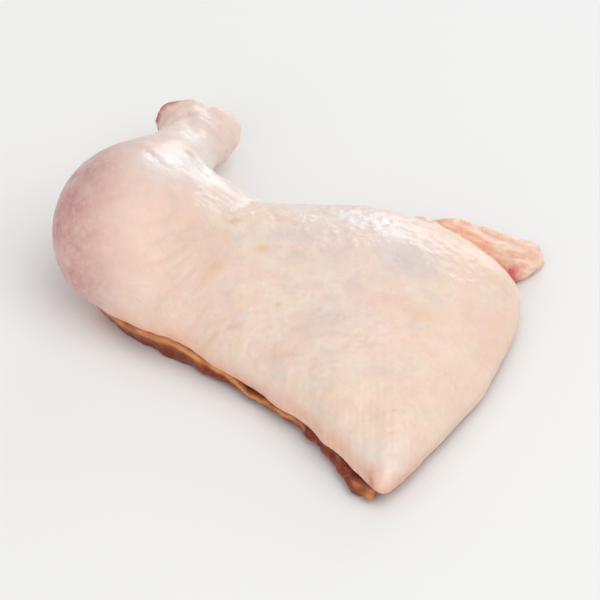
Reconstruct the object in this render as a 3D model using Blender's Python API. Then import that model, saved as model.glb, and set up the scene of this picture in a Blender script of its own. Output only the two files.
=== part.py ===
"""A raw chicken leg quarter lying skin side up: drumstick, thigh and a strip of back, in one piece.

Metres, +Z up. The thigh runs along +X from the knee to the hip, and the drumstick points away, along +Y.
The origin is at the middle of the piece, on the surface that it lies on.
"""

import math

import bmesh
import bpy
import numpy as np
from mathutils import Matrix, Vector

MM = 0.001

# The drumstick, from its blunt end at the knee to the cut hock.
DRUM_LENGTH = 118 * MM
DRUM_START = Vector((-73 * MM, -8 * MM, 0))
DRUM_BEARING = math.radians(71.5)
CALF_RADIUS = 27 * MM

# The thigh, from the knee to the hip, and the thin corner of flank skin beyond its meat.
THIGH_TOP = 36.5 * MM
FLANK_TOP = 30 * MM
FAR_FULLNESS = 2.1
NEAR_FULLNESS = 1.65

# Under the edge of the skin, the meat is set back by this much, up to this height.
TUCK_DEPTH = 4 * MM
TUCK_HEIGHT = 8 * MM

# The piece sags this far past the surface that it lies on, which flattens it there.
SAG = 2 * MM

RING_POINTS = 64
SECTIONS = 48
LUMP_SIDES = 24
VOXEL = 1.6 * MM
WEB_THICKNESS = 8 * MM
SMOOTH_ROUNDS = 14
EASE = 0.5
CUT_TOLERANCE = 0.01 * MM
MOST_TRIANGLES = 10500

SKIN_COLOUR = (0.80, 0.62, 0.50, 1)
SKIN_ROUGHNESS = 0.4

# Across the thigh, in millimetres, at places along it from the knee to the hip: the near edge and
# its height, the ridge and its height as a share of THIGH_TOP, and the far edge and its height.
THIGH_SECTIONS = (
    (-71, -6, 9, 5, 0.60, 17, 12),
    (-63, -18, 9, 4, 0.84, 31, 13),
    (-50, -26, 10, 4, 0.96, 38, 14),
    (-35, -36, 10, 4, 1.00, 40, 14),
    (-18, -50, 10, 2, 1.00, 39, 14),
    (-5, -61, 10, 0, 1.00, 39, 14),
    (5, -69, 10, -2, 1.00, 39, 14),
    (15, -75, 9, -4, 0.99, 39, 14),
    (23, -78, 8, -5, 0.98, 39, 14),
    (29, -79, 7, -5, 0.96, 38, 14),
    (37, -77, 7, -5, 0.93, 36, 13),
    (45, -71, 6, -5, 0.88, 33, 12),
    (52, -64, 6, -4, 0.82, 29, 11),
    (59, -56, 6, -4, 0.74, 24, 10),
    (67, -43, 6, -3, 0.62, 17, 9),
    (73, -28, 6, -3, 0.48, 11, 8),
    (78, -11, 6, -3, 0.28, 4, 7),
)

# The same for the flank skin, whose ridge heights are shares of FLANK_TOP.
FLANK_SECTIONS = (
    (-12, -57, 9, -30, 0.70, 0, 5),
    (0, -71, 9, -34, 0.88, 0, 5),
    (10, -86, 9, -36, 0.97, 0, 5),
    (18, -99, 9, -38, 0.92, 0, 5),
    (23, -108, 9, -38, 0.87, 0, 5),
    (28, -110, 9, -38, 0.85, 0, 5),
    (33, -103, 9, -38, 0.86, 0, 5),
    (40, -92, 8, -38, 0.86, 0, 5),
    (48, -80, 8, -37, 0.80, 0, 5),
    (57, -65, 7, -34, 0.69, 0, 5),
    (66, -48, 7, -30, 0.48, 0, 5),
)

# Along the drumstick as shares of its length: half width and half height as shares of the calf's
# radius, and the height of the middle in millimetres.
DRUM_SECTIONS = (
    (0.00, 0.12, 0.12, 20),
    (0.04, 0.50, 0.50, 21),
    (0.12, 0.82, 0.80, 23),
    (0.25, 1.00, 0.95, 25),
    (0.38, 0.98, 0.93, 24.5),
    (0.51, 0.80, 0.80, 22),
    (0.64, 0.59, 0.62, 19),
    (0.75, 0.48, 0.50, 16.5),
    (0.83, 0.47, 0.47, 15),
    (0.90, 0.53, 0.49, 14),
    (0.96, 0.55, 0.49, 13.5),
    (1.00, 0.46, 0.42, 13.5),
)

# Rounded lumps that fill out the piece: place and radii, in millimetres.
KNEE_WEB = (
    ((-42, 27, 19), (28, 27, 19)),
    ((-56, 8, 19), (24, 26, 19)),
    ((-30, 8, 16), (30, 28, 20)),
)
HOCK_CORNERS = (
    ((-49, 101, 15), (8, 7, 9)),
    ((-32, 99, 14), (9, 8, 10)),
)
BACK_STRIP = (
    ((50, 35, 8), (21, 15, 8)),
    ((60, 41, 8), (10, 7, 6)),
    ((67, 33, 5.5), (16, 12, 6)),
    ((74, 38, 6), (8, 6, 5)),
    ((80, 30, 5), (9.5, 9, 5)),
)


def between(stations, places):
    """The stations' columns, read at the places along a smooth curve through them."""
    table = np.array(stations, float)
    along, values = table[:, 0], table[:, 1:]
    slopes = np.gradient(values, along, axis=0)
    at = np.clip(np.searchsorted(along, places) - 1, 0, len(along) - 2)
    step = (along[at + 1] - along[at])[:, None]
    t = (places[:, None] - along[at][:, None]) / step
    start, end = values[at], values[at + 1]
    return (
        start * (1 + 2 * t) * (1 - t) ** 2
        + end * t**2 * (3 - 2 * t)
        + slopes[at] * step * t * (1 - t) ** 2
        + slopes[at + 1] * step * t**2 * (t - 1)
    )


def loft(bm, rings):
    """A closed skin through rings of equal numbers of points, capped at both ends."""
    loops = []
    for ring in rings:
        made = bmesh.ops.create_circle(bm, segments=len(ring), radius=1)["verts"]
        for vert, point in zip(made, ring):
            vert.co = point
        loops.append(list({edge for vert in made for edge in vert.link_edges}))
    for first, second in zip(loops, loops[1:]):
        bmesh.ops.bridge_loops(bm, edges=first + second)
    for loop in (loops[0], loops[-1]):
        bmesh.ops.contextual_create(bm, geom=loop)


def around():
    """Cosines and sines of evenly spaced angles round a ring."""
    angles = np.linspace(0, 2 * math.pi, RING_POINTS, endpoint=False)
    return np.cos(angles), np.sin(angles)


def slab_ring(along, near, near_height, ridge, top, far, far_height):
    """One section: a dome of skin from the near edge to the far one, over a nearly flat base."""
    points = []
    for c, s in zip(*around()):
        edge, height, fullness = (
            (far, far_height, FAR_FULLNESS) if c > 0 else (near, near_height, NEAR_FULLNESS)
        )
        y = ridge + (edge - ridge) * abs(c) ** (2 / fullness)
        if s >= 0:
            z = height + (top - height) * s ** (2 / fullness)
        else:
            z = height - (height + SAG) * abs(s) ** (1 / fullness)
        points.append((along, y, z))
    return points


def slab(bm, sections, height):
    """Sections square to the thigh's line, from the knee to the hip."""
    table = np.array(sections, float)
    table[:, [0, 1, 2, 3, 5, 6]] *= MM
    table[:, 4] *= height
    places = np.linspace(table[0, 0], table[-1, 0], SECTIONS)
    loft(bm, [slab_ring(x, *row) for x, row in zip(places, between(table, places))])


def drumstick(bm):
    """Round sections square to the leg's own line."""
    table = np.array(DRUM_SECTIONS, float)
    table[:, 0] *= DRUM_LENGTH
    table[:, 1:3] *= CALF_RADIUS
    table[:, 3] *= MM
    places = np.linspace(0, DRUM_LENGTH, SECTIONS)
    forward = Vector((math.cos(DRUM_BEARING), math.sin(DRUM_BEARING), 0))
    side = Vector((-forward.y, forward.x, 0))
    rings = []
    for place, (wide, high, middle) in zip(places, between(table, places)):
        centre = DRUM_START + forward * place + Vector((0, 0, middle))
        rings.append(
            [centre + side * wide * c + Vector((0, 0, high * s)) for c, s in zip(*around())]
        )
    loft(bm, rings)


def lumps(bm, places):
    for place, radii in places:
        placed = Matrix.Translation(Vector(place) * MM) @ Matrix.Diagonal((*(Vector(radii) * MM), 1))
        bmesh.ops.create_uvsphere(
            bm, u_segments=LUMP_SIDES, v_segments=LUMP_SIDES // 2, radius=1, matrix=placed
        )


def muscles(bm):
    slab(bm, THIGH_SECTIONS, THIGH_TOP)
    slab(bm, FLANK_SECTIONS, FLANK_TOP)
    drumstick(bm)
    lumps(bm, KNEE_WEB)


def trimmings(bm):
    lumps(bm, HOCK_CORNERS + BACK_STRIP)


def add_to(target, make):
    bm = bmesh.new()
    bm.from_mesh(target.data)
    make(bm)
    bmesh.ops.recalc_face_normals(bm, faces=bm.faces)
    bm.to_mesh(target.data)
    bm.free()


def apply_modifiers(target):
    bpy.context.view_layer.update()
    graph = bpy.context.evaluated_depsgraph_get()
    mesh = bpy.data.meshes.new_from_object(target.evaluated_get(graph))
    target.modifiers.clear()
    target.data = mesh


def fuse(target, web_thickness=0.0):
    """Makes one skin of what overlaps. A web stretches it over the creases between the muscles."""
    steps = (web_thickness, -web_thickness) if web_thickness else (0,)
    for step in steps:
        remesh = target.modifiers.new("one_skin", "REMESH")
        remesh.mode = "VOXEL"
        remesh.voxel_size = VOXEL
        move = target.modifiers.new("move_out", "DISPLACE")
        move.mid_level = 0
        move.strength = step
    ease = target.modifiers.new("ease", "SMOOTH")
    ease.factor = EASE
    ease.iterations = SMOOTH_ROUNDS
    apply_modifiers(target)


def tuck_under(target):
    """Sets the lower edge back all round, so that the skin overhangs the meat."""
    bm = bmesh.new()
    bm.from_mesh(target.data)
    bm.normal_update()
    for vert in bm.verts:
        share = min(1, max(0, 1 - vert.co.z / TUCK_HEIGHT))
        outwards = Vector((vert.normal.x, vert.normal.y, 0))
        vert.co -= outwards * TUCK_DEPTH * share**2 * (3 - 2 * share)
    bm.to_mesh(target.data)
    bm.free()


def thin_out(target):
    triangles = sum(len(face.vertices) - 2 for face in target.data.polygons)
    thin = target.modifiers.new("fewer_faces", "DECIMATE")
    thin.ratio = MOST_TRIANGLES / triangles
    apply_modifiers(target)


def rest_flat(target):
    """Cuts off what would sink into the table, and sets the piece down on its origin."""
    bm = bmesh.new()
    bm.from_mesh(target.data)
    bmesh.ops.bisect_plane(
        bm,
        geom=bm.verts[:] + bm.edges[:] + bm.faces[:],
        dist=CUT_TOLERANCE,
        plane_co=(0, 0, 0),
        plane_no=(0, 0, -1),
        clear_outer=True,
    )
    bmesh.ops.holes_fill(bm, edges=[edge for edge in bm.edges if edge.is_boundary])
    bmesh.ops.triangulate(bm, faces=bm.faces)
    low = Vector([min(vert.co[i] for vert in bm.verts) for i in range(3)])
    high = Vector([max(vert.co[i] for vert in bm.verts) for i in range(3)])
    middle = (low + high) / 2
    bmesh.ops.translate(bm, verts=bm.verts, vec=(-middle.x, -middle.y, 0))
    bm.to_mesh(target.data)
    bm.free()


def skin_material():
    skin = bpy.data.materials.new("raw_skin")
    skin.use_nodes = True
    shader = skin.node_tree.nodes["Principled BSDF"]
    shader.inputs["Base Color"].default_value = SKIN_COLOUR
    shader.inputs["Roughness"].default_value = SKIN_ROUGHNESS
    return skin


def main():
    for old in list(bpy.data.objects):
        bpy.data.objects.remove(old)
    leg = bpy.data.objects.new("leg_quarter", bpy.data.meshes.new("leg_quarter"))
    bpy.context.scene.collection.objects.link(leg)
    add_to(leg, muscles)
    fuse(leg, WEB_THICKNESS)
    tuck_under(leg)
    add_to(leg, trimmings)
    fuse(leg)
    thin_out(leg)
    rest_flat(leg)
    leg.data.materials.append(skin_material())
    leg.data.shade_smooth()


main()
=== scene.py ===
"""The looks of a raw chicken leg quarter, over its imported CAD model.

Metres, +Z up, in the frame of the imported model: the thigh runs along +X from the knee to the hip,
and the drumstick points away, along +Y. The tables, and the points that the functions take, are in
millimetres. Each piece is remeshed as one closed skin, and then gets its relief and its patches.
"""

import math

import bmesh
import bpy
import numpy as np
from bpy.props import FloatProperty, FloatVectorProperty, PointerProperty
from mathutils import Matrix, Vector, noise


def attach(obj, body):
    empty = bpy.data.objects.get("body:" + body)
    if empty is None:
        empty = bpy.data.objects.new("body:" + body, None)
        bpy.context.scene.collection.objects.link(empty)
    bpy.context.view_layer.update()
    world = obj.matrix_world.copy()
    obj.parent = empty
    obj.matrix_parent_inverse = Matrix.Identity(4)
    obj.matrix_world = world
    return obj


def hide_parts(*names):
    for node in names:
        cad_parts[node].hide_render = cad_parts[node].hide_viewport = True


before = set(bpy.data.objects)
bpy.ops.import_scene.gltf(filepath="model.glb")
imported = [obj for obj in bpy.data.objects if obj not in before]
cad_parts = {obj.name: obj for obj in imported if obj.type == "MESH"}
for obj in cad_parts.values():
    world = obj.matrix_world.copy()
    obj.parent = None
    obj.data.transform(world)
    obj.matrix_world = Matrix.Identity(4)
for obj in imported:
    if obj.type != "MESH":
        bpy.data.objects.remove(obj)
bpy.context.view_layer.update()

bl_info = {
    "name": "Raw chicken leg quarter",
    "version": (1, 0, 0),
    "blender": (4, 5, 0),
    "location": "3D View > Sidebar > Leg quarter",
    "description": "Skin, meat, back fat and hock joint of a raw leg quarter, and its stage",
    "category": "Add Mesh",
}

MM = 0.001
NODE = "leg_quarter"
BODY = "root"

# The drumstick's line in plan, from its blunt end at the knee to the hock.
DRUM_START = (-72.2, -7.4)
DRUM_BEARING = math.radians(71.5)

# How high above the table the skin ends, round the edge of the thigh: x, y and height.
SKIN_EDGE = (
    (-76, 4, 5.0),
    (-70, -7, 8.0),
    (-62, -18, 11.0),
    (-50, -28, 11.0),
    (-36, -40, 7.5),
    (-18, -53, 5.0),
    (-2, -67, 5.5),
    (8, -80, 6.5),
    (15, -93, 7.5),
    (20, -102, 8.0),
    (24, -108, 6.5),
    (29, -109, 1.5),
    (37, -100, 2.0),
    (48, -80, 2.5),
    (62, -58, 2.5),
    (76, -20, 3.0),
    (72, 10, 3.0),
    (45, 34, 3.0),
    (10, 40, 3.5),
    (-18, 34, 4.0),
)
EDGE_REACH = 8
# How far to the right of the drumstick's line the skin goes all the way round.
KNEE_COVER = -5
DRUM_COVER = 17

# The cut through the hock: a point on it and the way it faces.
HOCK_CUT = Vector((-41.5, 104.0, 14.0))
HOCK_FACING = Vector((-0.28, 0.95, 0.06)).normalized()

# In plan, the strip of back fat begins where x + STRIP_SLANT * y rises through the first two of
# these numbers and y through the others.
STRIP_SLANT = 0.8
STRIP = ((79, 87), (14, 22))
BESIDE_STRIP = ((70, 81), (12, 20))
# Skin and meat are pressed flat inside the strip, and raised a little.
STRIP_PRESS = 0.75
STRIP_RAISE = 1.3
# How far the skin lies inside it all round, and how much farther in plan near its end.
STRIP_INSET = 1.8
STRIP_END_INSET = 3.2

# Where the plain form is drawn a little aside: the middle, how far it reaches, and the move.
NUDGES = (
    ((-54, 97, 18), 9, (0.6, 2.4, 2.4)),
    ((-32, 104, 20), 11, (-0.6, -2.4, -1.2)),
    ((-40, 53, 35), 10, (0, 0.8, 2.2)),
    ((28, -108, 4), 5, (0, -1.6, 0)),
)


# ---- Fields over a piece's points


def ramp(values, start, end):
    """0 before start, 1 after end, and a smooth rise between them."""
    share = np.clip((values - start) / (end - start), 0, 1)
    return share * share * (3 - 2 * share)


def bell(values, middle=0, width=1):
    """1 at the middle, and nearly 0 two widths away from it."""
    return np.exp(-(((values - middle) / width) ** 2))


def ripples(points, size, seed, stretch=(1, 1, 1)):
    """Smooth noise between -1 and 1, whose waves are about as long as size."""
    scaled = points / (np.array(stretch) * size) + seed * 17.3
    return np.array([noise.noise(Vector(row)) for row in scaled])


def cells(points, size, seed):
    """How far each point lies from the middle of its cell, as a share of size."""
    scaled = points / size + seed * 7.1
    return np.array([noise.voronoi(Vector(row))[0][0] for row in scaled])


def beside(points, course):
    """How far to the left of a course in plan each point lies, and what share along it."""
    fine = smooth_course(course)
    steps = np.diff(fine, axis=0)
    lengths = np.linalg.norm(steps, axis=1)
    reached = np.concatenate([[0], np.cumsum(lengths)])
    nearest = np.full(len(points), np.inf)
    aside = np.zeros(len(points))
    along = np.zeros(len(points))
    for start, step, length, before in zip(fine, steps, lengths, reached):
        gap = points[:, :2] - start
        share = np.clip(gap @ step / length**2, 0, 1)
        off = gap - share[:, None] * step
        distance = np.hypot(off[:, 0], off[:, 1])
        closer = distance < nearest
        side = np.sign(step[0] * gap[:, 1] - step[1] * gap[:, 0])
        nearest = np.where(closer, distance, nearest)
        aside = np.where(closer, distance * side, aside)
        along = np.where(closer, (before + share * length) / reached[-1], along)
    return aside, along


def smooth_course(course):
    """Eight times as many places, on a smooth curve through the few of a course."""
    course = np.array(course, float)
    ends = np.vstack([2 * course[0] - course[1], course, 2 * course[-1] - course[-2]])
    fine = [course[0]]
    for before, start, end, after in zip(ends, ends[1:], ends[2:], ends[3:]):
        bend = 2 * before - 5 * start + 4 * end - after
        turn = 3 * start - before - 3 * end + after
        for t in np.arange(1, 9) / 8:
            fine.append(0.5 * (2 * start + (end - before) * t + bend * t**2 + turn * t**3))
    return np.array(fine)


def crease(aside, width):
    """The narrow crease on a fold's right."""
    return bell(aside / (0.6 * width), -0.9)


def dying_out(along):
    """1 over the middle of a course, and 0 at both ends."""
    return ramp(along, 0, 0.3) * ramp(along, 1, 0.7)


def fold(points, course, width, height):
    """A soft ridge along a course, with a crease on its right."""
    aside, along = beside(points, course)
    ridge = bell(aside / width, 0.5)
    return height * (ridge - 0.8 * crease(aside, width)) * dying_out(along)


def creases(points, folds):
    """Thin lines along the creases beside the folds, stronger for the higher ones."""
    total = np.zeros(len(points))
    for course, width, height in folds:
        aside, along = beside(points, course)
        total += abs(height) * 2 * crease(aside, width) * dying_out(along)
    return total


def spots(points, places):
    """Soft patches, from the x, y, two radii, turn in degrees and strength of each."""
    total = np.zeros(len(points))
    for x, y, long, wide, turn, strength in places:
        c, s = math.cos(math.radians(turn)), math.sin(math.radians(turn))
        dx, dy = points[:, 0] - x, points[:, 1] - y
        across = ((dx * c + dy * s) / long) ** 2 + ((dy * c - dx * s) / wide) ** 2
        total = np.maximum(total, strength * np.exp(-across))
    return total


def nudged(points):
    """The points, drawn aside at the few places that NUDGES names."""
    moved = points.copy()
    for middle, reach, move in NUDGES:
        gap = np.linalg.norm(points - np.array(middle), axis=1)
        moved += bell(gap, 0, reach)[:, None] * np.array(move)
    return moved


def towards_the_strip(points, slanting, away):
    """A rise from 0 to 1 in plan, between the numbers that STRIP explains."""
    slant = points[:, 0] + STRIP_SLANT * points[:, 1]
    return ramp(slant, *slanting) * ramp(points[:, 1], *away)


def below_the_fat(points):
    """The points' heights, pressed together inside the strip of back fat."""
    share = towards_the_strip(points, *STRIP)
    return points[:, 2] * (1 - STRIP_PRESS * share) + STRIP_RAISE * share


def towards_the_near_edge(points, start):
    """0 on the thigh's middle, and 1 along its near edge."""
    return ramp(points[:, 1] + points[:, 0] * 0.9, start, -60)


def on_top(points):
    """0 low on the sides, and 1 on top."""
    return ramp(points[:, 2], 9, 15)


def past_the_cut(points):
    """How far beyond the plane of the hock's cut each point lies."""
    return (points - np.array(HOCK_CUT)) @ np.array(HOCK_FACING)


def drum_line(points):
    """How far along the drumstick's line each point lies, and how far to the right of it."""
    forward = np.array([math.cos(DRUM_BEARING), math.sin(DRUM_BEARING)])
    gap = points[:, :2] - DRUM_START
    return gap @ forward, gap @ np.array([forward[1], -forward[0]])


def below_skin(points):
    """How far below the skin's edge each point lies: less than 0 where skin covers the piece."""
    places = np.array(SKIN_EDGE, float)
    gaps = np.linalg.norm(points[:, None, :2] - places[None, :, :2], axis=2)
    gaps -= gaps.min(axis=1, keepdims=True)
    weights = np.exp(-gaps / EDGE_REACH)
    height = (weights * places[:, 2]).sum(axis=1) / weights.sum(axis=1)
    upright = (1, 1, 4)
    height += 0.9 * ripples(points, 11, 3, upright) + 0.4 * ripples(points, 4.5, 4, upright)
    along, aside = drum_line(points)
    cover = KNEE_COVER + (DRUM_COVER - KNEE_COVER) * ramp(along, 7, 20)
    return np.minimum(height - points[:, 2], aside - cover)


# ---- Meshes


def cad_copy(name, bm=None):
    """A new object with the CAD node's mesh, its triangles merged, beside any lumps."""
    bm = bm or bmesh.new()
    bm.from_mesh(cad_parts[NODE].data)
    bmesh.ops.remove_doubles(bm, verts=bm.verts, dist=0.01 * MM)
    return new_object(name, bm)


def new_object(name, bm):
    """A new object at the origin, with the mesh that bm holds."""
    mesh = bpy.data.meshes.new(name)
    bm.to_mesh(mesh)
    bm.free()
    piece = bpy.data.objects.new(name, mesh)
    bpy.context.scene.collection.objects.link(piece)
    return piece


def one_skin(piece, voxel, rounds):
    """Remeshes the piece as one closed skin with even faces, and smooths it."""
    remesh = piece.modifiers.new("one_skin", "REMESH")
    remesh.mode = "VOXEL"
    remesh.voxel_size = voxel
    ease = piece.modifiers.new("ease", "SMOOTH")
    ease.factor = 0.5
    ease.iterations = rounds
    bpy.context.view_layer.update()
    graph = bpy.context.evaluated_depsgraph_get()
    mesh = bpy.data.meshes.new_from_object(piece.evaluated_get(graph))
    piece.modifiers.clear()
    old = piece.data
    piece.data = mesh
    bpy.data.meshes.remove(old)
    mesh.name = piece.name


def points_of(piece):
    """The piece's points and the ways they face, in millimetres."""
    mesh = piece.data
    points = np.empty(len(mesh.vertices) * 3)
    mesh.vertices.foreach_get("co", points)
    facing = np.empty(len(mesh.vertices) * 3)
    mesh.vertex_normals.foreach_get("vector", facing)
    return points.reshape(-1, 3) / MM, facing.reshape(-1, 3)


def put_points(piece, points):
    """Moves the piece's points to new places, in millimetres."""
    piece.data.vertices.foreach_set("co", (points * MM).ravel())
    piece.data.update()


def paint(piece, name, values):
    """Stores a value from 0 to 1 for each point, for the material to read."""
    layer = piece.data.attributes.new(name, "FLOAT", "POINT")
    layer.data.foreach_set("value", np.clip(values, 0, 1).astype(np.float32))


def lumps(places, sides=24):
    """A mesh of overlapping round lumps, from the place and the three radii of each."""
    bm = bmesh.new()
    for place, radii in places:
        sized = Matrix.Diagonal((*(Vector(radii) * MM), 1))
        placed = Matrix.Translation(Vector(place) * MM) @ sized
        bmesh.ops.create_uvsphere(
            bm, u_segments=sides, v_segments=sides // 2, radius=1, matrix=placed
        )
    return bm


def finished(piece, material):
    """Gives the piece its material, and puts it in the CAD node's place."""
    piece.data.materials.clear()
    piece.data.materials.append(material)
    piece.data.shade_smooth()
    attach(piece, BODY)
    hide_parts(NODE)


# ---- Materials

# A Mix node's colour sockets share their names with others, so they are found by their numbers.
MIX_UNDER, MIX_OVER, MIX_RESULT = 6, 7, 2
# How many bands a wave texture has in one unit of length at a scale of 1.
WAVE_BANDS = 3.15
# How far red, green and blue light go into flesh, beside one another.
LIGHT_REACH = (1.0, 0.42, 0.26)
FILM_ROUGHNESS = 0.26


class Finish:
    """A material's nodes. Sizes are in millimetres, and patterns lie on Object coordinates."""

    def __init__(self, name):
        self.material = bpy.data.materials.new(name)
        self.material.use_nodes = True
        self.tree = self.material.node_tree
        self.shader = self.tree.nodes["Principled BSDF"]
        self.place = self.tree.nodes.new("ShaderNodeTexCoord").outputs["Object"]

    def node(self, kind, inputs, **settings):
        """A new node with its inputs and settings."""
        made = self.tree.nodes.new(kind)
        for name, value in settings.items():
            setattr(made, name, value)
        self.fill(made, inputs)
        return made

    def fill(self, node, inputs):
        """Links each input to a node's output, or sets its own value."""
        for name, value in inputs.items():
            socket = node.inputs[name]
            if isinstance(value, bpy.types.NodeSocket):
                self.tree.links.new(value, socket)
            else:
                socket.default_value = (*value, 1) if socket.type == "RGBA" else value

    def moved(self, stretch=(1, 1, 1), seed=0):
        """The coordinates, stretched, and moved on so that two patterns differ."""
        place = (seed * 0.31, seed * 0.17, seed * 0.23)
        inputs = {"Vector": self.place, "Location": place, "Scale": [1 / s for s in stretch]}
        return self.node("ShaderNodeMapping", inputs).outputs["Vector"]

    def noise(self, size, detail=3.0, rough=0.55, stretch=(1, 1, 1), seed=0, twist=0.0):
        """Soft noise between 0 and 1, whose blots are about as wide as size."""
        inputs = {"Vector": self.moved(stretch, seed), "Scale": 1 / (size * MM)}
        inputs |= {"Detail": detail, "Roughness": rough, "Distortion": twist}
        return self.node("ShaderNodeTexNoise", inputs).outputs["Fac"]

    def cells(self, size, feature="F1", seed=0, wander=1.0, bend=0.0):
        """How far it is to the middle or the edge of cells about as wide as size."""
        vector = self.moved(seed=seed)
        if bend:
            wave = self.node("ShaderNodeTexNoise", {"Vector": vector, "Scale": 1 / (3 * size * MM)})
            inputs = {0: wave.outputs["Color"], 1: (bend * MM,) * 3, 2: vector}
            add = self.node("ShaderNodeVectorMath", inputs, operation="MULTIPLY_ADD")
            vector = add.outputs["Vector"]
        inputs = {"Vector": vector, "Scale": 1 / (size * MM), "Randomness": wander}
        return self.node("ShaderNodeTexVoronoi", inputs, feature=feature).outputs["Distance"]

    def rows(self, width, bend):
        """Wandering rows along Y, each about as wide as width."""
        inputs = {"Vector": self.place, "Scale": 1 / (width * MM) / WAVE_BANDS}
        inputs |= {"Distortion": bend, "Detail": 3, "Detail Scale": 0.5}
        return self.node("ShaderNodeTexWave", inputs).outputs["Fac"]

    def painted(self, name):
        """The values that paint() stored under this name."""
        return self.node("ShaderNodeAttribute", {}, attribute_name=name).outputs["Fac"]

    def math(self, operation, first, second):
        """A sum, a difference or a product."""
        return self.node("ShaderNodeMath", {0: first, 1: second}, operation=operation).outputs[0]

    def times(self, first, second):
        return self.math("MULTIPLY", first, second)

    def rise(self, value, start, end, low=0.0, high=1.0):
        """Low before start, high after end, and a smooth rise between them."""
        inputs = {"Value": value, "From Min": start, "From Max": end, "To Min": low, "To Max": high}
        made = self.node("ShaderNodeMapRange", inputs, interpolation_type="SMOOTHSTEP")
        return made.outputs["Result"]

    def tint(self, share, under, over):
        """The colour under, with a share of the colour over in it."""
        inputs = {"Factor": share, MIX_UNDER: under, MIX_OVER: over}
        return self.node("ShaderNodeMix", inputs, data_type="RGBA").outputs[MIX_RESULT]

    def relief(self, *layers):
        """Bumps on top of one another: the height and the depth of each."""
        below = {}
        for height, depth in layers:
            inputs = {"Height": height, "Strength": 1, "Distance": depth * MM, **below}
            below = {"Normal": self.node("ShaderNodeBump", inputs).outputs["Normal"]}
        return below["Normal"]

    def flesh(self, colour, normal, roughness, light_depth, through, wet, shine=0.5):
        """Soft wet tissue: light goes into it, and a film of moisture lies on it."""
        inputs = {
            "Base Color": colour,
            "Normal": normal,
            "Coat Normal": normal,
            "Roughness": roughness,
            "Subsurface Weight": through,
            "Subsurface Radius": LIGHT_REACH,
            "Subsurface Scale": light_depth * MM,
            "Coat Weight": wet,
            "Coat Roughness": FILM_ROUGHNESS,
            "Specular IOR Level": shine,
        }
        self.fill(self.shader, inputs)
        return self.material


def skin_finish(look):
    """Raw skin: mottled cream and pink, with painted patches, follicles and a wet gloss."""
    f = Finish("raw_skin")
    colour = f.tint(f.rise(f.noise(38, seed=1), 0.38, 0.64), look.cream, look.yellow)
    colour = f.tint(f.rise(f.noise(24, seed=2), 0.48, 0.72, 0, 0.55), colour, look.pink)

    # Mottling: the width of its blots, the seed, the strength and the colour.
    for size, seed, strength, over in (
        (12, 13, 0.45, look.peach),
        (8, 14, 0.42, look.bluish),
        (5, 15, 0.11, look.fatty),
        (7, 16, 0.42, look.pink),
        (14, 18, 0.09, look.fatty),
    ):
        blots = f.rise(f.noise(size, detail=4, seed=seed), 0.48, 0.68, 0, strength)
        colour = f.tint(blots, colour, over)

    # The painted patches, unevenly strong, and the painted lines, which break off in places.
    uneven = f.rise(f.noise(9, detail=4, seed=3), 0.3, 0.7, 0.72, 1.15)
    broken = f.rise(f.noise(3, detail=3, seed=5), 0.3, 0.7, 0.1, 0.6)
    for name, over, strength in (
        ("peachy", look.peach, uneven),
        ("blush", look.pink, uneven),
        # Mauve is thin skin over dark meat, and on the calf's left side, away from the key light,
        # also painted shade.
        ("mauve", look.mauve, uneven),
        ("thin", look.bluish, uneven),
        # The pale tint is a painted highlight, where the wet highlights fall.
        ("pale", look.pale, uneven),
        ("fatty", look.fatty, uneven),
        ("edge", look.edge, uneven),
        ("raw", look.raw, uneven),
        # Tan along the creases is painted shade at the bottom of the folds.
        ("creases", look.tan, broken),
        ("veins", look.vein, broken),
    ):
        colour = f.tint(f.times(f.painted(name), strength), colour, over)
    fine_blots = f.noise(2.6, detail=5, rough=0.65, seed=7)
    colour = f.tint(f.rise(fine_blots, 0.45, 0.75, 0, 0.45), colour, look.pink)

    # Follicles: a pink ring round a tan dot, plain in some places and faint in others.
    pores = f.cells(3.1, seed=8, wander=0.55)
    patchy = f.rise(f.noise(16, seed=12), 0.35, 0.6, 0.25, 1)
    bumpy = f.times(f.painted("follicles"), patchy)
    ring = f.times(f.rise(pores, 0.15, 0.30), f.rise(pores, 0.60, 0.34))
    colour = f.tint(f.times(ring, f.times(bumpy, 0.4)), colour, look.pink)
    dot = f.rise(pores, 0.22, 0.04)
    colour = f.tint(f.times(dot, f.times(bumpy, 0.35)), colour, look.tan)
    papules = f.times(f.rise(pores, 0.34, 0.0), bumpy)

    # Faint rows on the flank.
    streaks = f.times(f.rows(2.4, 6), f.painted("rows"))
    colour = f.tint(f.times(streaks, 0.18), colour, look.yellow)

    dimples = f.noise(7, detail=2, rough=0.5, seed=17, twist=0.6)
    soft = f.noise(2.6, detail=2, rough=0.5, stretch=(1, 2, 1), seed=10)
    fine = f.noise(0.9, detail=3, rough=0.6, stretch=(1, 1.8, 1), seed=9)
    normal = f.relief((dimples, 0.65), (soft, 0.12), (fine, 0.04), (streaks, 0.05), (papules, 0.14))

    # Dry skin shines less, and the patches of painted highlight shine more.
    smears = f.noise(6, detail=4, seed=11)
    rough = f.rise(smears, 0.3, 0.7, look.roughness - 0.08, look.roughness + 0.12)
    rough = f.math("ADD", rough, f.times(f.painted("dry"), 0.2))
    rough = f.math("SUBTRACT", rough, f.times(f.painted("pale"), 0.1))
    return f.flesh(colour, normal, rough, look.light_depth / MM, look.through, look.wet)


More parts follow.
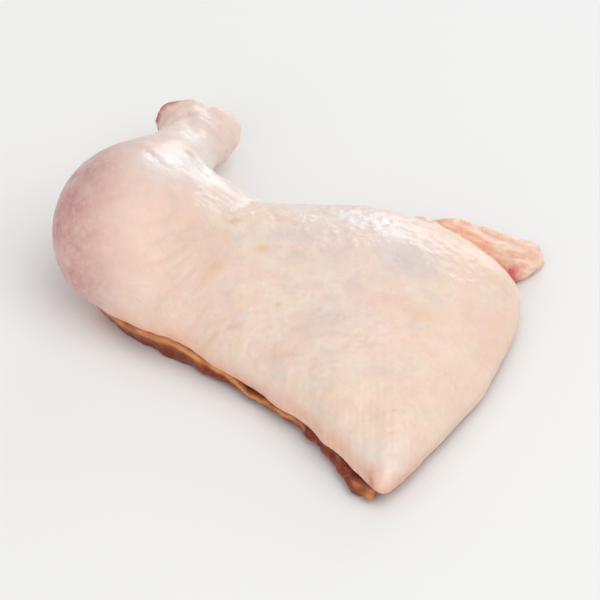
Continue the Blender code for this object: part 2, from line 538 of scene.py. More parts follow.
def meat_finish(look, name):
    """Raw meat: dark and lighter red fibres, with films and painted fat."""
    f = Finish(name)
    fibres = f.noise(1.6, detail=4, rough=0.6, stretch=(3.5, 1, 1.5), seed=1, twist=0.9)
    # For the cut meat, the red and the dark red also hold painted shade.
    colour = f.tint(f.rise(fibres, 0.34, 0.66), look.dark, look.red)
    dried = f.noise(12, detail=3, seed=2)
    colour = f.tint(f.rise(dried, 0.45, 0.7, 0, 0.6), colour, look.brown)
    muscles = f.noise(34, detail=2, stretch=(2, 1, 1), seed=6)
    colour = f.tint(f.rise(muscles, 0.48, 0.62, 0, 0.45), colour, look.red)
    films = f.noise(7, detail=5, rough=0.65, seed=3, twist=1.2)
    colour = f.tint(f.rise(films, 0.56, 0.70, 0, 0.4), colour, look.film)
    colour = f.tint(f.painted("fat"), colour, look.fat)
    normal = f.relief((fibres, 0.22), (f.noise(2.2, detail=4, seed=4), 0.25))
    rough = f.rise(f.noise(5, seed=5), 0.3, 0.7, 0.25, 0.45)
    return f.flesh(colour, normal, rough, light_depth=2.5, through=0.2, wet=0.2, shine=0.25)


def fat_finish(look):
    """Soft back fat in lobes, flushed pink and orange, with a few fine vessels."""
    f = Finish("raw_back_fat")
    lobes = f.cells(3.4, "SMOOTH_F1", seed=1, bend=5)
    colour = f.tint(f.rise(lobes, 0.25, 0.7, 0, 0.25), look.pale, look.yellow)
    flush = f.noise(5, detail=4, seed=2, twist=0.8)
    colour = f.tint(f.rise(flush, 0.44, 0.62, 0, 0.8), colour, look.pink)
    uneven = f.rise(f.noise(3, detail=4, seed=3), 0.3, 0.65, 0.6, 1.2)
    for name, over in (("orange", look.orange), ("blood", look.blood)):
        colour = f.tint(f.times(f.painted(name), uneven), colour, over)
    vessels = f.rise(f.cells(9, "DISTANCE_TO_EDGE", seed=4, bend=12), 0.0, 0.03, 1, 0)
    vessels = f.times(vessels, f.rise(f.noise(8, seed=7), 0.45, 0.62, 0, 0.22))
    colour = f.tint(vessels, colour, look.blood)
    normal = f.relief((f.rise(lobes, 0.6, 0.1), 0.12), (f.noise(1.4, detail=4, seed=5), 0.22))
    rough = f.rise(f.noise(4, seed=6), 0.3, 0.7, 0.38, 0.58)
    return f.flesh(colour, normal, rough, light_depth=3, through=0.3, wet=0.2)


def cartilage_finish(look):
    """Smooth wet cartilage, white to bluish, stained by blood in places."""
    f = Finish("raw_cartilage")
    clouds = f.noise(6, detail=3, seed=1)
    colour = f.tint(f.rise(clouds, 0.35, 0.65), look.white, look.blue)
    stains = f.noise(3.5, detail=4, seed=2)
    colour = f.tint(f.rise(stains, 0.48, 0.70, 0, 0.6), colour, look.flush)
    normal = f.relief((f.noise(2.5, detail=2, seed=3), 0.08))
    rough = f.rise(f.noise(3, seed=4), 0.3, 0.7, 0.16, 0.30)
    return f.flesh(colour, normal, rough, light_depth=2.5, through=0.3, wet=0.6)


def floor_finish(look):
    """A plain pale table with hardly any clouding."""
    f = Finish("pale_table")
    clouds = f.noise(220, detail=2, seed=1)
    colour = f.tint(clouds, look.floor, tuple(0.985 * c for c in look.floor))
    rough = f.rise(f.noise(60, seed=2), 0.3, 0.7, 0.52, 0.6)
    normal = f.relief((f.noise(4, detail=2, seed=3), 0.02))
    f.fill(f.shader, {"Base Color": colour, "Roughness": rough, "Normal": normal})
    return f.material


# ---- Sizes and colours


def colour_of(name, description, value):
    """A colour, in linear red, green and blue."""
    return FloatVectorProperty(
        name=name, description=description, default=value, subtype="COLOR", size=3, min=0, max=1
    )


def number_of(name, description, value, low=0, **settings):
    """A number that is at least low."""
    return FloatProperty(name=name, description=description, default=value, min=low, **settings)


def length_of(name, description, value):
    """A length, from its value in millimetres."""
    return number_of(name, description, value * MM, unit="LENGTH", subtype="DISTANCE")


def share_of(name, description, value):
    """A share from 0 to 1."""
    return number_of(name, description, value, subtype="FACTOR", max=1)


def power_of(name, description, value):
    """A light's power in watts."""
    return number_of(name, description, value, unit="POWER")


class SkinLook(bpy.types.PropertyGroup):
    """The skin that covers the drumstick and the thigh."""

    voxel: length_of("Detail", "Width of the finest faces", 0.86)
    edge_depth: length_of("Edge depth", "How far the skin stands out over the bare meat", 3.6)
    edge_roll: length_of("Edge roll", "How far the skin's rounded edge swells", 0.9)
    undulation: length_of("Undulation", "Height of the broad soft waves in the skin", 0.9)
    papule: length_of("Follicles", "Height of the feather follicles", 0.42)
    roughness: share_of("Roughness", "Roughness of the moist skin", 0.45)
    wet: share_of("Moisture", "Strength of the film of moisture", 0.45)
    through: share_of("Translucence", "How much light goes into the skin", 0.35)
    light_depth: length_of("Light depth", "How far light goes into the skin", 4)
    cream: colour_of("Cream", "Skin over a little fat", (0.865, 0.73, 0.64))
    yellow: colour_of("Pale yellow", "Skin over more fat", (0.86, 0.7, 0.56))
    pink: colour_of("Pink", "Skin flushed from the meat below", (0.83, 0.58, 0.52))
    # Mauve is thin skin over dark meat, deepened on the calf's left side as painted shade.
    mauve: colour_of("Mauve", "Thin skin stretched over dark meat", (0.525, 0.22, 0.21))
    peach: colour_of("Peach", "Warm mottling", (0.885, 0.625, 0.465))
    bluish: colour_of("Bluish", "Translucent skin over the thigh muscle", (0.64, 0.58, 0.56))
    # Pale is a whitish-grey tint painted where the wet highlights fall: a painted highlight.
    pale: colour_of("Pale", "Wet skin that looks nearly white", (0.76, 0.73, 0.71))
    fatty: colour_of("Fatty yellow", "Specks of fat below the skin", (0.7, 0.45, 0.2))
    edge: colour_of("Edge orange", "The skin's cut edge", (0.8, 0.43, 0.3))
    raw: colour_of("Raw red", "Torn and bloody skin at the hock", (0.44, 0.11, 0.1))
    vein: colour_of("Vein", "Vessels below the skin", (0.52, 0.3, 0.35))
    # Tan is the follicles' own dots, and the painted shade along the bottom of the creases.
    tan: colour_of("Tan", "The bottom of the creases", (0.64, 0.42, 0.3))


class MeatLook(bpy.types.PropertyGroup):
    """The meat that shows below the skin's edge and underneath."""

    voxel: length_of("Detail", "Width of the finest faces", 1.1)
    inset: length_of("Inset", "How far the meat lies below the skin that covers it", 3.2)
    fibre: length_of("Fibre", "Height of the coarse fibres", 0.45)
    # Red and dark red are the meat's own fibres, darkened beyond lit raw meat as painted shade for
    # the meat in the undercut below the skin's edge.
    red: colour_of("Red", "Lighter fibres", (0.295, 0.04, 0.012))
    dark: colour_of("Dark red", "Darker fibres", (0.12, 0.017, 0.006))
    brown: colour_of("Brown", "Meat that has dried a little", (0.25, 0.062, 0.02))
    film: colour_of("Film", "Films of fat and membrane on the meat", (0.5, 0.23, 0.11))
    fat: colour_of("Fat line", "The fat between the skin and the meat", (0.83, 0.345, 0.11))


class FatLook(bpy.types.PropertyGroup):
    """The strip of back fat at the hip."""

    voxel: length_of("Detail", "Width of the finest faces", 0.8)
    lobe: length_of("Lobes", "Height of the fat's lobes", 0.6)
    pale: colour_of("Pale", "Palest fat", (0.89, 0.7, 0.54))
    yellow: colour_of("Yellow", "Between the lobes", (0.86, 0.59, 0.33))
    pink: colour_of("Pink", "Fat flushed with blood", (0.84, 0.48, 0.4))
    orange: colour_of("Orange", "Fat beside the thigh", (0.85, 0.36, 0.17))
    blood: colour_of("Blood", "Blood spot and vessels", (0.6, 0.05, 0.055))


class HockLook(bpy.types.PropertyGroup):
    """The cut hock joint at the drumstick's end."""

    voxel: length_of("Detail", "Width of the finest faces", 0.6)
    knuckle: length_of("Knuckle radius", "Radius of each of the joint's two wheels", 8.8)
    tendon: length_of("Tendon radius", "Radius of a cut tendon", 1.3)
    white: colour_of("White", "Clean cartilage", (0.85, 0.77, 0.7))
    blue: colour_of("Blue white", "Thick cartilage", (0.71, 0.69, 0.69))
    flush: colour_of("Flush", "Cartilage stained by blood", (0.76, 0.44, 0.38))
    red: colour_of("Red", "Lighter tissue round the joint", (0.56, 0.19, 0.15))
    dark: colour_of("Dark red", "Darker tissue round the joint", (0.34, 0.06, 0.05))
    brown: colour_of("Brown", "Tissue that has dried a little", (0.52, 0.24, 0.17))
    film: colour_of("Film", "Membranes round the joint", (0.78, 0.52, 0.44))
    fat: colour_of("Fat", "Fat under the skin at the cut", (0.85, 0.6, 0.44))


class StageLook(bpy.types.PropertyGroup):
    """The floor, the lights and the camera."""

    floor: colour_of("Floor", "Colour of the plain floor", (0.88, 0.875, 0.865))
    world: number_of("Fill", "Strength of the even light all round", 0.60)
    key: power_of("Key light", "Power of the large soft light above", 23)
    back: power_of("Back light", "Power of the soft panel behind", 9.5)
    front: power_of("Front light", "Power of the soft light at the left front", 9)
    lens: number_of("Lens", "Focal length in millimetres", 318.8, low=1, unit="CAMERA")
    distance: number_of("Distance", "From the camera to the piece", 1.886, low=0.1, unit="LENGTH")
    elevation: number_of(
        "Elevation",
        "Height of the camera above the horizon",
        math.radians(37),
        unit="ROTATION",
        subtype="ANGLE",
    )


# ---- The skin

# The fan of fine folds at the knee, and the folds beyond it: course, width and height.
FOLDS = (
    (((-60, 1), (-50, 5), (-42, 12)), 1.4, 0.14),
    (((-58, -8), (-48, 1), (-34, 8)), 1.6, 0.26),
    (((-61, -12), (-46, -6), (-36, 2)), 1.5, 0.34),
    (((-52, -15), (-44, -9), (-33, -3)), 1.3, 0.2),
    (((-57, -22), (-41, -14), (-27, -4)), 1.7, 0.26),
    (((-46, -25), (-37, -19), (-28, -15)), 1.4, 0.18),
    (((-50, -31), (-33, -25), (-18, -17)), 1.7, 0.2),
    (((-38, -34), (-28, -33), (-17, -34)), 1.7, 0.45),
    (((-14, -46), (-5, -48), (5, -52)), 2.0, 0.4),
    (((-29, 42), (-23, 31), (-20, 21)), 3.0, -0.6),
    (((-16, 18), (-6, 13), (6, 11), (20, 12)), 4.0, 0.25),
    (((-44, 52), (-36, 44), (-29, 34)), 2.6, 0.45),
    (((-60, 44), (-52, 34), (-46, 24)), 3.4, 0.35),
)

# The sharp crest of the flank's corner, which is eased.
FLANK_CREST = ((24, -108), (24, -98), (23, -86), (20, -70))

# Heights of the skin's smaller relief.
CALF_WRINKLE = 0.12
GATHER = 0.45
CORNER_LINE = 0.14
CREST_EASE = 1.8
NECK_RING = 0.22
KNUCKLE_LUMP = 1.1

# Where the skin changes its colour or finish: x, y, the two radii, turn in degrees and strength.
# Mauve: thin skin over dark meat, and on the calf's left side, away from the key light, painted
# shade as well.
MAUVE_AND_PAINTED_SHADE = (
    (-88, 16, 18, 38, -18, 1.0),
    (-84, -5, 15, 14, -35, 0.95),
    (-75, 27, 16, 26, -18, 0.85),
    (-54, 92, 5, 10, -18, 0.22),
    (-41, 89, 2.4, 1.8, 20, 0.42),
    (-34, 85, 2.4, 1.7, 0, 0.36),
    (-39, 79, 2.6, 1.6, -20, 0.36),
    (-31, 92, 2.0, 2.0, 0, 0.3),
)
BLUSH = (
    (-66, 4, 26, 26, -18, 0.65),
    (-62, -8, 16, 12, 20, 0.55),
    (-50, 60, 12, 24, -18, 0.35),
    (-40, 96, 14, 10, -18, 0.5),
    (-50, 92, 8, 9, 0, 0.75),
    (-40, 86, 2.6, 2.0, 0, 0.9),
    (-35, 91, 2.2, 1.6, 30, 0.8),
    (-45, 92, 3.2, 2.0, 20, 0.7),
    (28, -31, 5, 4, 0, 0.55),
    (11, -41, 9, 6, 10, 0.3),
    (14, -96, 8, 14, 40, 0.3),
    (62, -30, 8, 12, 0, 0.25),
)
THIN = (
    (38, -10, 11, 9, 0, 0.85),
    (10, -38, 11, 7, 10, 0.45),
    (0, 2, 16, 5, 0, 0.45),
    (12, -12, 18, 9, 0, 0.3),
    (-24, 30, 8, 10, 0, 0.3),
)
# Painted highlight: a whitish-grey tint where the wet highlights fall, so that they look white.
PAINTED_HIGHLIGHTS = (
    (-48, 30, 14, 8, 30, 0.75),
    (-36, 42, 10, 8, 0, 0.85),
    (-38, 70, 10, 14, -18, 0.6),
    (-36, 90, 8, 8, 0, 0.4),
    (22, 14, 18, 7, -8, 0.75),
    (30, 4, 7, 6, 0, 0.6),
    (24, -97, 8, 9, 0, 0.7),
    (66, -14, 5, 6, 0, 0.5),
)
FATTY = (
    (-24, 10, 2.6, 1.8, 20, 1.0),
    (-30, -13, 6, 3, 35, 0.5),
    (-14, -6, 2.2, 1.6, 0, 0.55),
    (-8, -31, 1.2, 1.0, 0, 0.6),
    (42, -34, 9, 5, 0, 0.3),
    (-42, 2, 25, 17, 10, 0.2),
    (63, -2, 8, 6, -40, 0.4),
    (54, 14, 8, 5, -35, 0.45),
)
PEACHY = (
    (70, -22, 14, 26, -10, 0.95),
    (56, -56, 16, 22, -30, 0.6),
    (30, -84, 22, 20, 0, 0.32),
    (-46, -18, 16, 8, -30, 0.35),
    (84, -20, 12, 26, -10, 0.8),
    (58, 6, 14, 10, -40, 0.6),
)
# At the flank's corner the skin curls down as a knob, with a raw notch beside it.
CORNER_KNOB = ((26, -107, 3.5, 3.5, 0, 0.55), (23.5, -103, 4.5, 4, -50, 0.95))
CORNER_NOTCH = ((23.6, -104.4, 1.8, 1.3, -50, 0.9), (22.8, -103.2, 3.4, 2.6, -50, 0.4))
# Where it has dried a little, where rows cross it, and two places for the relief.
DRIED = ((47, 12, 13, 8, -30, 1.0), (40, 20, 10, 7, -30, 0.8))
ROWS = ((26, -84, 34, 30, 0, 1.0), (50, -50, 20, 24, 0, 0.5))
CROOK = ((-35, 0, 26, 22, 30, 1.0),)
CORNER = ((24, -96, 26, 24, 0, 1.0),)
# Vessels that show through the skin: course, width and strength.
VEINS = (
    (((-88, 8), (-80, 20), (-74, 34), (-68, 50)), 1.6, 0.3),
    (((-80, 20), (-70, 26), (-62, 38)), 1.4, 0.22),
    (((-8, -36), (4, -44), (18, -46), (30, -56)), 1.5, 0.16),
    (((34, 4), (46, -8), (52, -24)), 1.5, 0.16),
)


def follicle_share(points):
    """How much the follicles show: strongly on the thigh, hardly in the leg's crook."""
    on_drum = ramp(drum_line(points)[1], 30, 16)
    return np.clip(0.85 - 0.45 * on_drum - 0.6 * spots(points, CROOK), 0.1, 1)


def drape(points, look):
    """Height of the skin's soft waves, folds and follicles over the plain form."""
    x, y, z = points.T
    along, aside = drum_line(points)
    edge = below_skin(points)

    # Loose waves, lower where the drumstick is tight, and fine wrinkles on the calf.
    drum = ramp(aside, 26, 10) * ramp(z, 0, 6)
    loose = 1 - 0.65 * drum * ramp(along, 88, 70)
    waves = 0.7 * ripples(points, 30, 1) + 0.35 * ripples(points, 15, 2)
    waves += 0.16 * ripples(points, 8, 5)
    height = look.undulation / MM * loose * waves
    height += CALF_WRINKLE * drum * loose * ripples(points, 3.4, 16, (1, 2.2, 1))

    uneven = on_top(points) * (0.6 + 1.2 * ripples(points, 9, 15))
    for course, width, rise in FOLDS:
        height += fold(points, course, width, rise) * uneven

    # The skin gathers where it is drawn over the thigh's near edge.
    near = towards_the_near_edge(points, -42) * ramp(aside, 20, 30)
    gathers = np.sin((x - y) / 6.1 + 1.4 * ripples(points, 22, 6))
    height += GATHER * gathers * near * ramp(edge, -22, -4)

    # The flank's corner has fine lines and a crest that is rounded off.
    lines = np.sin(x / 0.85 + 2.6 * ripples(points, 14, 7))
    height += CORNER_LINE * lines * spots(points, CORNER) * ramp(edge, 0, -3)
    off_crest, up_crest = beside(points, FLANK_CREST)
    crest = bell(off_crest, 0, 7)
    height -= CREST_EASE * crest * ramp(up_crest, -0.2, 0.05) * ramp(up_crest, 1, 0.6)

    # Broken rings round the drumstick's neck, and lumps on its knuckle.
    neck = ramp(along, 74, 84) * ramp(along, 100, 92) * ramp(aside, 24, 18)
    rings = np.sin(along * 1.3 + 4.5 * ripples(points, 11, 8))
    rings *= ramp(ripples(points, 9, 13), -0.3, 0.4)
    height += NECK_RING * neck * rings
    knuckle = ramp(along, 86, 97) * ramp(aside, 30, 20)
    height += knuckle * (KNUCKLE_LUMP * ripples(points, 8, 9) + 0.6 * ripples(points, 4, 14))
    height += knuckle * KNUCKLE_LUMP * (0.45 - cells(points, 6.0, 10))

    papules = bell(cells(points, 4.4, 11), 0, 0.3)
    height += look.papule / MM * papules * follicle_share(points) * ramp(edge, 0, -3)
    return height


def step_in_at_the_edge(piece, look):
    """Draws the skin in below its edge, under the back fat and at the hock's cut."""
    points, facing = points_of(piece)
    bare = below_skin(points)
    aside = drum_line(points)[1]
    depth = look.edge_depth / MM * ramp(bare, -0.2, 0.9)
    depth -= look.edge_roll / MM * bell(bare, -1.5, 1.3) * ramp(aside, 14, 24)
    strip = towards_the_strip(points, *STRIP)
    points -= facing * (depth + STRIP_INSET * strip)[:, None]
    at_end = STRIP_END_INSET * strip * ramp(points[:, 0], 62, 70)
    points[:, :2] -= facing[:, :2] * at_end[:, None]
    points[:, 2] = below_the_fat(points)

    # The hock is cut off short, with a hollow in which the joint lies.
    past = past_the_cut(points)
    cut = np.where(past > -1.5, (past + 1.5) * 0.85, 0)
    off_axis = np.linalg.norm(points - np.array(HOCK_CUT) - np.outer(past, HOCK_FACING), axis=1)
    cut += 3.5 * ramp(off_axis, 10.5, 8) * ramp(past, -4, -1)
    points -= np.outer(cut, HOCK_FACING)
    put_points(piece, nudged(points))


def skin_patches(points):
    """How strongly each colour and finish of the skin shows, by its name."""
    x, _, z = points.T
    along, aside = drum_line(points)
    edge = below_skin(points)
    near = towards_the_near_edge(points, -36)
    band = (0.3 + 0.3 * near) * ramp(edge, -10, -1.5) + 0.5 * near * ramp(edge, -4.5, -1.2)
    band += 0.5 * near * ramp(x, -18, 2) * ramp(edge, -9, -3)
    hock = ramp(past_the_cut(points) + 1.2 * ripples(points, 4, 12), -3.4, -1.1)
    dry_hock = ramp(along, 78, 90) * ramp(aside, 30, 20)
    beside_strip = 0.9 * towards_the_strip(points, *BESIDE_STRIP)
    return {
        "blush": spots(points, BLUSH),
        # Mauve of thin skin, with painted shade on the calf's left side.
        "mauve": spots(points, MAUVE_AND_PAINTED_SHADE) * ramp(z, 60, 44) * ramp(z, -14, 22),
        "thin": spots(points, THIN),
        # Painted highlight: the pale tint where the wet highlights fall.
        "pale": spots(points, PAINTED_HIGHLIGHTS),
        "fatty": spots(points, FATTY),
        "edge": np.maximum(band * ramp(aside, 2, 12), spots(points, CORNER_KNOB)),
        "raw": np.maximum(hock, spots(points, CORNER_NOTCH)),
        # Painted shade: tan lines along the bottom of the folds' creases.
        "creases": creases(points, FOLDS) * on_top(points),
        "dry": np.maximum(dry_hock, spots(points, DRIED)),
        "veins": creases(points, VEINS) * ramp(z, 3, 8),
        "peachy": np.maximum(spots(points, PEACHY), beside_strip),
        "follicles": follicle_share(points),
        "rows": spots(points, ROWS),
    }


class LEGQUARTER_OT_skin(bpy.types.Operator):
    """Makes the skin of drumstick and thigh, with its folds, follicles and overhanging edge"""

    bl_idname = "leg_quarter.make_skin"
    bl_label = "Skin"

    def execute(self, context):
        look = context.scene.leg_skin
        skin = cad_copy("skin")
        one_skin(skin, look.voxel * 1.2, 16)
        step_in_at_the_edge(skin, look)
        one_skin(skin, look.voxel, 3)
        points, facing = points_of(skin)
        covered = ramp(below_skin(points), 1.2, 0.2)
        points += facing * (drape(points, look) * covered)[:, None]
        points[:, 2] = np.maximum(points[:, 2], 0.05)
        put_points(skin, points)
        for name, values in skin_patches(points_of(skin)[0]).items():
            paint(skin, name, values)
        finished(skin, skin_finish(look))
        return {"FINISHED"}


# ---- The meat

# Meat that bulges out below the skin's near edge, from the knee to the corner: x, y and height.
EDGE_MEAT = (
    (-70.5, 5.5, 1.4),
    (-64, -0.5, 3.8),
    (-56.5, -7.5, 6.0),
    (-44, -18, 6.0),
    (-24, -35, 4.8),
    (-6, -52, 4.2),
    (8, -69, 5.0),
    (16, -83, 5.8),
    (22, -96, 6.2),
)
CORNER_MEAT = ((23.5, -103.5, 4.5), (3.6, 3.6, 4.6))
# A knob of fat on it, as the patches of the skin.
FAT_KNOB = ((24, -106.5, 4.0, 3.6, 0, 0.75),)
# How far bare meat lies inside the plain form, and the height of its line of fat.
BARE_INSET = 0.9
FAT_LINE_RISE = 0.6
CORNER_GROOVE = 1.3
# How far before the hock's cut the meat stops.
MEAT_STOP = 10

# Furrows between the muscles underneath: course, width and depth.
FURROWS = (
    (((-58, 0), (-26, -18), (-2, -40), (8, -60), (20, -92)), 1.6, 0.7),
    (((-46, 12), (-14, 6), (10, -10), (34, -14), (62, -34)), 1.4, 0.6),
    (((-14, 32), (10, 20), (30, 20), (54, 4), (74, -10)), 1.5, 0.6),
    (((4, 2), (12, -16), (24, -32), (34, -52)), 1.2, 0.4),
)


def edge_lumps():
    """Uneven lumps along the near edge, and one at the flank's corner."""
    places = []
    course = smooth_course(EDGE_MEAT)
    for number, (x, y, high) in enumerate(course):
        share = number / (len(course) - 1)
        swell = 0.5 * math.sin(number * 1.1) + 0.4 * math.sin(number * 2.7)
        wide = 4.4 + (2.9 + swell) * min(1, 5 * share)
        places.append(((x, y, 2.6 + 1.2 * share), (wide, wide, high)))
    return lumps([*places, CORNER_MEAT], 16)


class LEGQUARTER_OT_meat(bpy.types.Operator):
    """Makes the meat below the skin's edge and underneath, with a line of fat"""

    bl_idname = "leg_quarter.make_meat"
    bl_label = "Cut meat"

    def execute(self, context):
        look = context.scene.leg_meat
        meat = cad_copy("cut_meat", edge_lumps())
        one_skin(meat, look.voxel, 12)
        points, facing = points_of(meat)
        bare = below_skin(points)
        shown = ramp(bare, -2.2, 0.2)
        relief = look.fibre / MM * ripples(points, 2.6, 21, (3, 1, 1.5))
        relief += 0.7 * ripples(points, 9, 22)

        # The line of fat is broad at the knee, and a groove takes its place at the corner.
        at_knee = ramp(points[:, 0], -28, -50)
        at_corner = ramp(points[:, 0], -12, 6)
        line = bell(bare - 1.0, 0.6 * at_knee, 0.8 + 1.8 * at_knee) * shown
        groove = CORNER_GROOVE * bell(bare, 0.8, 1.3) * at_corner
        height = -look.inset / MM * (1 - shown) + shown * (relief - BARE_INSET)
        height += FAT_LINE_RISE * line * (1 - at_corner)
        points += facing * (height - groove)[:, None]
        furrows = creases(points, FURROWS) * ramp(points[:, 2], 6, 2)
        points[:, 2] = np.maximum(below_the_fat(points) + furrows, 0)
        past = past_the_cut(points)
        points -= np.outer(np.maximum(past + MEAT_STOP, 0) * 0.9, HOCK_FACING)
        put_points(meat, points)

        broken = 0.85 + 0.7 * ripples(points, 5, 23) - 0.8 * at_corner
        line = line * broken * (1 - 0.25 * at_knee)
        patchy = ramp(ripples(points, 6, 24) + 0.5 * ripples(points, 2.5, 25), -0.3, 0.5)
        fat = np.maximum(line, spots(points, FAT_KNOB))
        paint(meat, "fat", np.maximum(fat, 0.32 * furrows * patchy))
        finished(meat, meat_finish(look, "raw_meat"))
        return {"FINISHED"}


# ---- The back fat

# The lumps that make it: place and radii.
BACK_FAT = (
    ((52, 37, 6.0), (16, 13, 6.5)),
    ((63, 38, 4.6), (14, 10, 4.6)),
    ((73, 34.5, 3.4), (14, 9.5, 3.5)),
    ((79, 32, 2.9), (9, 9.5, 3.0)),
    ((81.5, 38.5, 2.5), (6, 4.6, 2.4)),
    ((75, 25.5, 3.2), (9, 6.5, 3.3)),
    ((59, 30, 8.0), (9, 7, 5.0)),
)
# Course, width and height.
FAT_FOLDS = (
    (((52, 46), (68, 42), (83, 35)), 2.2, 0.9),
    (((56, 38), (70, 33), (83, 28)), 1.8, 0.7),
    (((64, 29), (74, 26), (85, 24)), 1.5, 0.5),
)
# Patches, as those of the skin.
ORANGE = (
    (50, 45, 7, 5, -48, 0.85),
    (57, 38, 8, 5.5, -48, 1.0),
    (64, 31, 7.5, 5, -48, 1.0),
    (70, 25, 6, 4, -48, 0.85),
    (82, 33, 7, 7, 0, 0.35),
)
BLOOD = ((74.5, 20, 4.4, 3.4, 30, 1.0), (79, 24, 3.5, 1.6, 40, 0.4), (70, 25, 4, 1.5, -40, 0.35))
# Turns the points so that X runs along the tears in the fat.
TEAR_TURN = np.array([[0.85, 0.53, 0], [-0.53, 0.85, 0], [0, 0, 1]])


class LEGQUARTER_OT_back_fat(bpy.types.Operator):
    """Makes the strip of back fat and torn skin that trails from the hip"""

    bl_idname = "leg_quarter.make_back_fat"
    bl_label = "Back fat"

    def execute(self, context):
        look = context.scene.leg_fat
        fat = new_object("back_fat", lumps(BACK_FAT))
        one_skin(fat, look.voxel, 10)
        points, facing = points_of(fat)
        turned = points @ TEAR_TURN.T
        torn = ripples(turned, 6, 31, (3, 1, 1)) + 0.4 * ripples(turned, 2.4, 33, (2.4, 1, 1))
        rim = ramp(points[:, 2], 5, 2) * ramp(points[:, 0], 60, 68)
        relief = look.lobe / MM * (0.8 * torn + 0.6 * ripples(points, 9, 32))
        relief += 1.9 * rim * ripples(points, 4, 34)
        for course, width, rise in FAT_FOLDS:
            relief += fold(points, course, width, rise)
        relief = np.where(facing[:, 2] < -0.2, np.maximum(relief, 0), relief)
        points += facing * relief[:, None]
        points[:, 2] = np.maximum(points[:, 2], 0)
        put_points(fat, points)
        paint(fat, "orange", spots(points, ORANGE))
        paint(fat, "blood", spots(points, BLOOD))
        finished(fat, fat_finish(look))
        return {"FINISHED"}


# ---- The hock joint

# How many lumps each ring of tissue has.
RING_LUMPS = 22


def across_the_cut():
    """Level and upright directions in the plane of the hock's cut."""
    level = Vector((0, 0, 1)).cross(HOCK_FACING).normalized()
    return level, HOCK_FACING.cross(level)


def joint_mesh(look, level, upright):
    """Two wheels of cartilage with a saddle between, and a cut tendon above and below."""
    wheel = look.knuckle / MM
    centre = HOCK_CUT - HOCK_FACING * (wheel * 0.55)
    wheels = (
        (centre + level * 4.2, (4.8, wheel, wheel * 0.95)),
        (centre - level * 4.0, (4.5, wheel * 0.93, wheel * 0.88)),
        (centre, (6, wheel * 0.78, wheel * 0.76)),
    )
    bm = lumps(wheels)
    turn = HOCK_FACING.to_track_quat("Z", "Y").to_matrix().to_4x4()
    for place in (upright * 9.2 + level * 0.4, upright * -9.0 - level * 0.6):
        start = HOCK_CUT + place - HOCK_FACING * 7.2
        bmesh.ops.create_cone(
            bm,
            cap_ends=True,
            segments=20,
            radius1=look.tendon * 1.1,
            radius2=look.tendon,
            depth=8 * MM,
            matrix=Matrix.Translation((start + HOCK_FACING * 3.9) * MM) @ turn,
        )
    return bm


def tissue_mesh(level, upright):
    """A core of tissue behind the joint, and two uneven rings round it."""
    places = [(HOCK_CUT - HOCK_FACING * 10, (11.5, 8.5, 10.5))]
    for number in range(RING_LUMPS):
        angle = 2 * math.pi * number / RING_LUMPS
        out = level * math.cos(angle) + upright * math.sin(angle)
        deep = 3.0 + 0.9 * math.sin(1.7 * number)
        thick = 2.5 + 0.5 * math.sin(2.3 * number)
        far = 9.0 + 0.6 * math.sin(3.1 * number)
        places.append((HOCK_CUT - HOCK_FACING * deep + out * far, (thick, 2.8, thick)))
        places.append((HOCK_CUT - HOCK_FACING * (deep + 1.8) + out * 6.2, (3.4, 3.0, 3.4)))
    return lumps(places)


def roughened(name, bm, voxel, rounds, height, size, seed):
    """A piece of the hock, remeshed, with a little relief, and clear of the table."""
    piece = new_object(name, bm)
    one_skin(piece, voxel, rounds)
    points, facing = points_of(piece)
    points = nudged(points + facing * (height * ripples(points, size, seed))[:, None])
    points[:, 2] = np.maximum(points[:, 2], 0.3)
    put_points(piece, points)
    return piece, points


class LEGQUARTER_OT_hock(bpy.types.Operator):
    """Makes the cut hock: two wheels of cartilage, cut tendons and the red tissue round them"""

    bl_idname = "leg_quarter.make_hock"
    bl_label = "Hock joint"

    def execute(self, context):
        look = context.scene.leg_hock
        sides = across_the_cut()
        joint, _ = roughened("hock_joint", joint_mesh(look, *sides), look.voxel, 5, 0.25, 5, 41)
        finished(joint, cartilage_finish(look))
        tissue, points = roughened("hock_tissue", tissue_mesh(*sides), look.voxel, 4, 0.5, 3.2, 42)
        paint(tissue, "fat", ramp(ripples(points, 4, 43), 0.15, 0.45))
        finished(tissue, meat_finish(look, "raw_hock_tissue"))
        return {"FINISHED"}


# ---- The stage

# The soft lights, in metres: place, width and height, and colour.
LIGHTS = (
    ("key", (0.95, -0.55, 1.9), (2.4, 2.4), (1, 1, 1)),
    ("back", (0.71, 2.03, 0.50), (1.05, 0.95), (0.86, 0.94, 1.0)),
    ("front", (-0.9, -1.7, 1.0), (1.5, 1.2), (1, 1, 1)),
)
FLOOR_REACH = 6
# What the camera looks at, in millimetres.
AIM = (-0.37, -9.3, 15.5)


def aimed(name, data, place, back):
    """A light or a camera at its place, with its back this way."""
    made = bpy.data.objects.new(name, data)
    made.location = place
    made.rotation_mode = "QUATERNION"
    made.rotation_quaternion = (-Vector(back)).to_track_quat("-Z", "Y")
    bpy.context.scene.collection.objects.link(made)
    return made


def soft_light(name, place, size, colour, power):
    """A soft panel of light that faces the piece and that the camera doesn't see."""
    lamp = bpy.data.lights.new(name, "AREA")
    lamp.shape = "RECTANGLE"
    lamp.size, lamp.size_y = size
    lamp.energy = power
    lamp.color = colour
    aimed(name, lamp, place, place).visible_camera = False


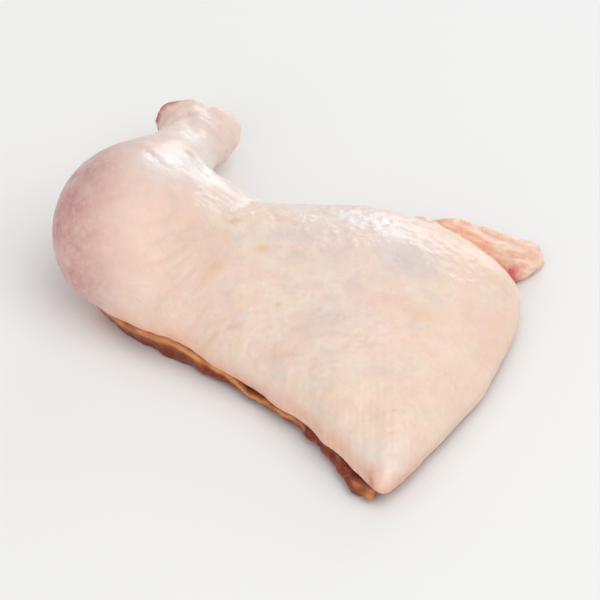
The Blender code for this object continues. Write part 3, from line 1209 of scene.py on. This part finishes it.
class LEGQUARTER_OT_stage(bpy.types.Operator):
    """Makes the plain floor, the soft lights and the camera"""

    bl_idname = "leg_quarter.make_stage"
    bl_label = "Stage"

    def execute(self, context):
        look = context.scene.leg_stage
        bm = bmesh.new()
        bmesh.ops.create_grid(bm, x_segments=8, y_segments=8, size=FLOOR_REACH)
        floor = new_object("floor", bm)
        floor.data.materials.append(floor_finish(look))

        world = bpy.data.worlds.new("soft_white")
        world.use_nodes = True
        background = world.node_tree.nodes["Background"]
        background.inputs["Color"].default_value = (1, 1, 1, 1)
        background.inputs["Strength"].default_value = look.world
        context.scene.world = world
        for name, place, size, colour in LIGHTS:
            soft_light(name, place, size, colour, getattr(look, name))

        camera = bpy.data.cameras.new("camera")
        camera.lens = look.lens
        camera.clip_end = 20
        back = Vector((0, -math.cos(look.elevation), math.sin(look.elevation)))
        place = Vector(AIM) * MM + back * look.distance
        context.scene.camera = aimed("camera", camera, place, back)
        context.scene.view_settings.view_transform = "Standard"
        return {"FINISHED"}


# ---- The sidebar


class LEGQUARTER_PT_pieces(bpy.types.Panel):
    """Lists the pieces with their sizes and colours"""

    bl_label = "Raw chicken leg quarter"
    bl_space_type = "VIEW_3D"
    bl_region_type = "UI"
    bl_category = "Leg quarter"

    def draw(self, context):
        for operator, name, look in PIECES:
            box = self.layout.box()
            box.operator(operator.bl_idname)
            for entry in look.__annotations__:
                box.prop(getattr(context.scene, name), entry)


PIECES = (
    (LEGQUARTER_OT_skin, "leg_skin", SkinLook),
    (LEGQUARTER_OT_meat, "leg_meat", MeatLook),
    (LEGQUARTER_OT_back_fat, "leg_fat", FatLook),
    (LEGQUARTER_OT_hock, "leg_hock", HockLook),
    (LEGQUARTER_OT_stage, "leg_stage", StageLook),
)


def register():
    for operator, name, look in PIECES:
        bpy.utils.register_class(look)
        setattr(bpy.types.Scene, name, PointerProperty(type=look))
        bpy.utils.register_class(operator)
    bpy.utils.register_class(LEGQUARTER_PT_pieces)


def unregister():
    bpy.utils.unregister_class(LEGQUARTER_PT_pieces)
    for operator, name, look in reversed(PIECES):
        bpy.utils.unregister_class(operator)
        delattr(bpy.types.Scene, name)
        bpy.utils.unregister_class(look)


def main():
    """Makes all the pieces and the stage."""
    register()
    bpy.ops.leg_quarter.make_skin()
    bpy.ops.leg_quarter.make_meat()
    bpy.ops.leg_quarter.make_back_fat()
    bpy.ops.leg_quarter.make_hock()
    bpy.ops.leg_quarter.make_stage()
    bpy.context.view_layer.update()


if __name__ == "__main__":
    main()
